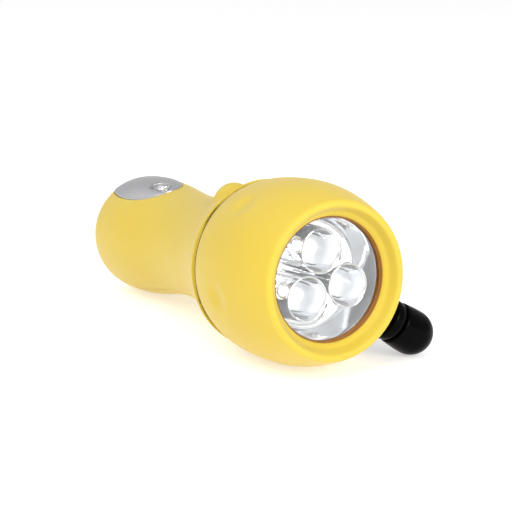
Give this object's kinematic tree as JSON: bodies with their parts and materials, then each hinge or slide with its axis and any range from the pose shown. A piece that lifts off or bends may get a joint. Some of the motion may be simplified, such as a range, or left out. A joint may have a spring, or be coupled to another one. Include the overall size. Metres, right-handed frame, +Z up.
{
  "type": "hand-crank torch",
  "caption": "Hand-cranked torch: barrel head with a recessed lens and LED reflector, egg-shaped handle with a switch plate, and a side crank that turns a geared generator.",
  "frame": {"origin": "centre of the bounding box at table level, with the torch lying on its head, bulb and crank knob", "axes": "+X along the torch towards its lens, +Z up from the table"},
  "size_m": [0.131, 0.0632, 0.0508],
  "materials": {
    "yellow_plastic": "soft-touch satin yellow",
    "clear_lens": "clear polished",
    "led_epoxy": "clear cast epoxy",
    "chrome_plating": "bright plated plastic",
    "silver_plate": "satin silver",
    "black_rubber": "matte",
    "gloss_black": "high gloss black",
    "black_plastic": "moulded black",
    "steel": "zinc plated",
    "brass": "turned",
    "white_plastic": "natural acetal",
    "circuit_board": "green solder mask",
    "copper": "enamelled winding",
    "cell_sleeve": "blue shrink sleeve",
    "red_wire": "insulated wire",
    "black_wire": "insulated wire"
  },
  "bodies": {
    "torch_body": {"battery_cell_1": "cell_sleeve", "battery_cell_2": "cell_sleeve", "battery_cell_3": "cell_sleeve", "battery_cradle": "black_plastic", "battery_lead_1": "red_wire", "battery_lead_2": "black_wire", "board_screw_1": "steel", "board_screw_2": "steel", "capacitor": "steel", "control_board": "circuit_board", "crank_bush": "brass", "crank_side_shell": "yellow_plastic", "gear_plate": "black_plastic", "gear_plate_screw_1": "steel", "gear_plate_screw_2": "steel", "gear_plate_screw_3": "steel", "gear_plate_screw_4": "steel", "generator_can": "steel", "generator_cap": "black_plastic", "generator_coil": "copper", "generator_lead_1": "red_wire", "generator_lead_2": "black_wire", "grip_shell": "yellow_plastic", "head_shell": "yellow_plastic", "idler_axle_1": "steel", "idler_axle_2": "steel", "led_1": "led_epoxy", "led_2": "led_epoxy", "led_3": "led_epoxy", "led_board": "circuit_board", "led_board_screw_1": "steel", "led_board_screw_2": "steel", "led_board_screw_3": "steel", "led_lead_1": "red_wire", "led_lead_2": "black_wire", "lens": "clear_lens", "lens_gasket": "black_rubber", "push_switch": "black_plastic", "rectifier": "black_plastic", "reflector": "chrome_plating", "seam_gasket": "black_rubber", "shaft_seal": "black_rubber", "shell_screw_1": "steel", "shell_screw_2": "steel", "shell_screw_3": "steel", "top_plate": "silver_plate"},
    "crank": {"crank_arm": "gloss_black", "crank_shaft": "steel", "crank_gear": "white_plastic", "crank_screw": "steel", "knob_pin": "steel"},
    "knob": {"crank_knob": "gloss_black"},
    "idler_1": {"idler_gear_1": "white_plastic"},
    "idler_2": {"idler_gear_2": "white_plastic"},
    "rotor": {"rotor_shaft": "steel", "rotor_pinion": "brass", "rotor_magnet": "steel"},
    "button": {"push_button": "chrome_plating", "switch_plunger": "black_plastic"}
  },
  "joints": [
    {"name": "crank_spin", "type": "hinge", "parent": "torch_body", "child": "crank", "pos_m": [0.00776, -0.00635, 0.02335], "axis": [0.0309, 0.8526, -0.5217], "continuous": true},
    {"name": "knob_spin", "type": "hinge", "parent": "crank", "child": "knob", "pos_m": [0.05318, -0.00635, 0.02604], "axis": [0.0309, 0.8526, -0.5217], "continuous": true},
    {"name": "idler_1_spin", "type": "hinge", "parent": "torch_body", "child": "idler_1", "pos_m": [-0.00706, -0.00635, 0.02247], "axis": [0.0309, 0.8526, -0.5217], "continuous": true},
    {"name": "idler_2_spin", "type": "hinge", "parent": "torch_body", "child": "idler_2", "pos_m": [-0.02039, -0.00635, 0.02168], "axis": [0.0309, 0.8526, -0.5217], "continuous": true},
    {"name": "rotor_spin", "type": "hinge", "parent": "torch_body", "child": "rotor", "pos_m": [-0.03299, -0.00635, 0.02093], "axis": [0.0309, 0.8526, -0.5217], "continuous": true},
    {"name": "button_press", "type": "slide", "parent": "torch_body", "child": "button", "axis": [0.0573, 0.2503, -0.9665], "range_m": [0, 0.0008], "stiffness_N_per_m": 1500}
  ],
  "couplings": [
    {"joint": "idler_1_spin", "follows": "crank_spin", "ratio": -3},
    {"joint": "idler_2_spin", "follows": "crank_spin", "ratio": 7.8},
    {"joint": "rotor_spin", "follows": "crank_spin", "ratio": -18.72}
  ]
}
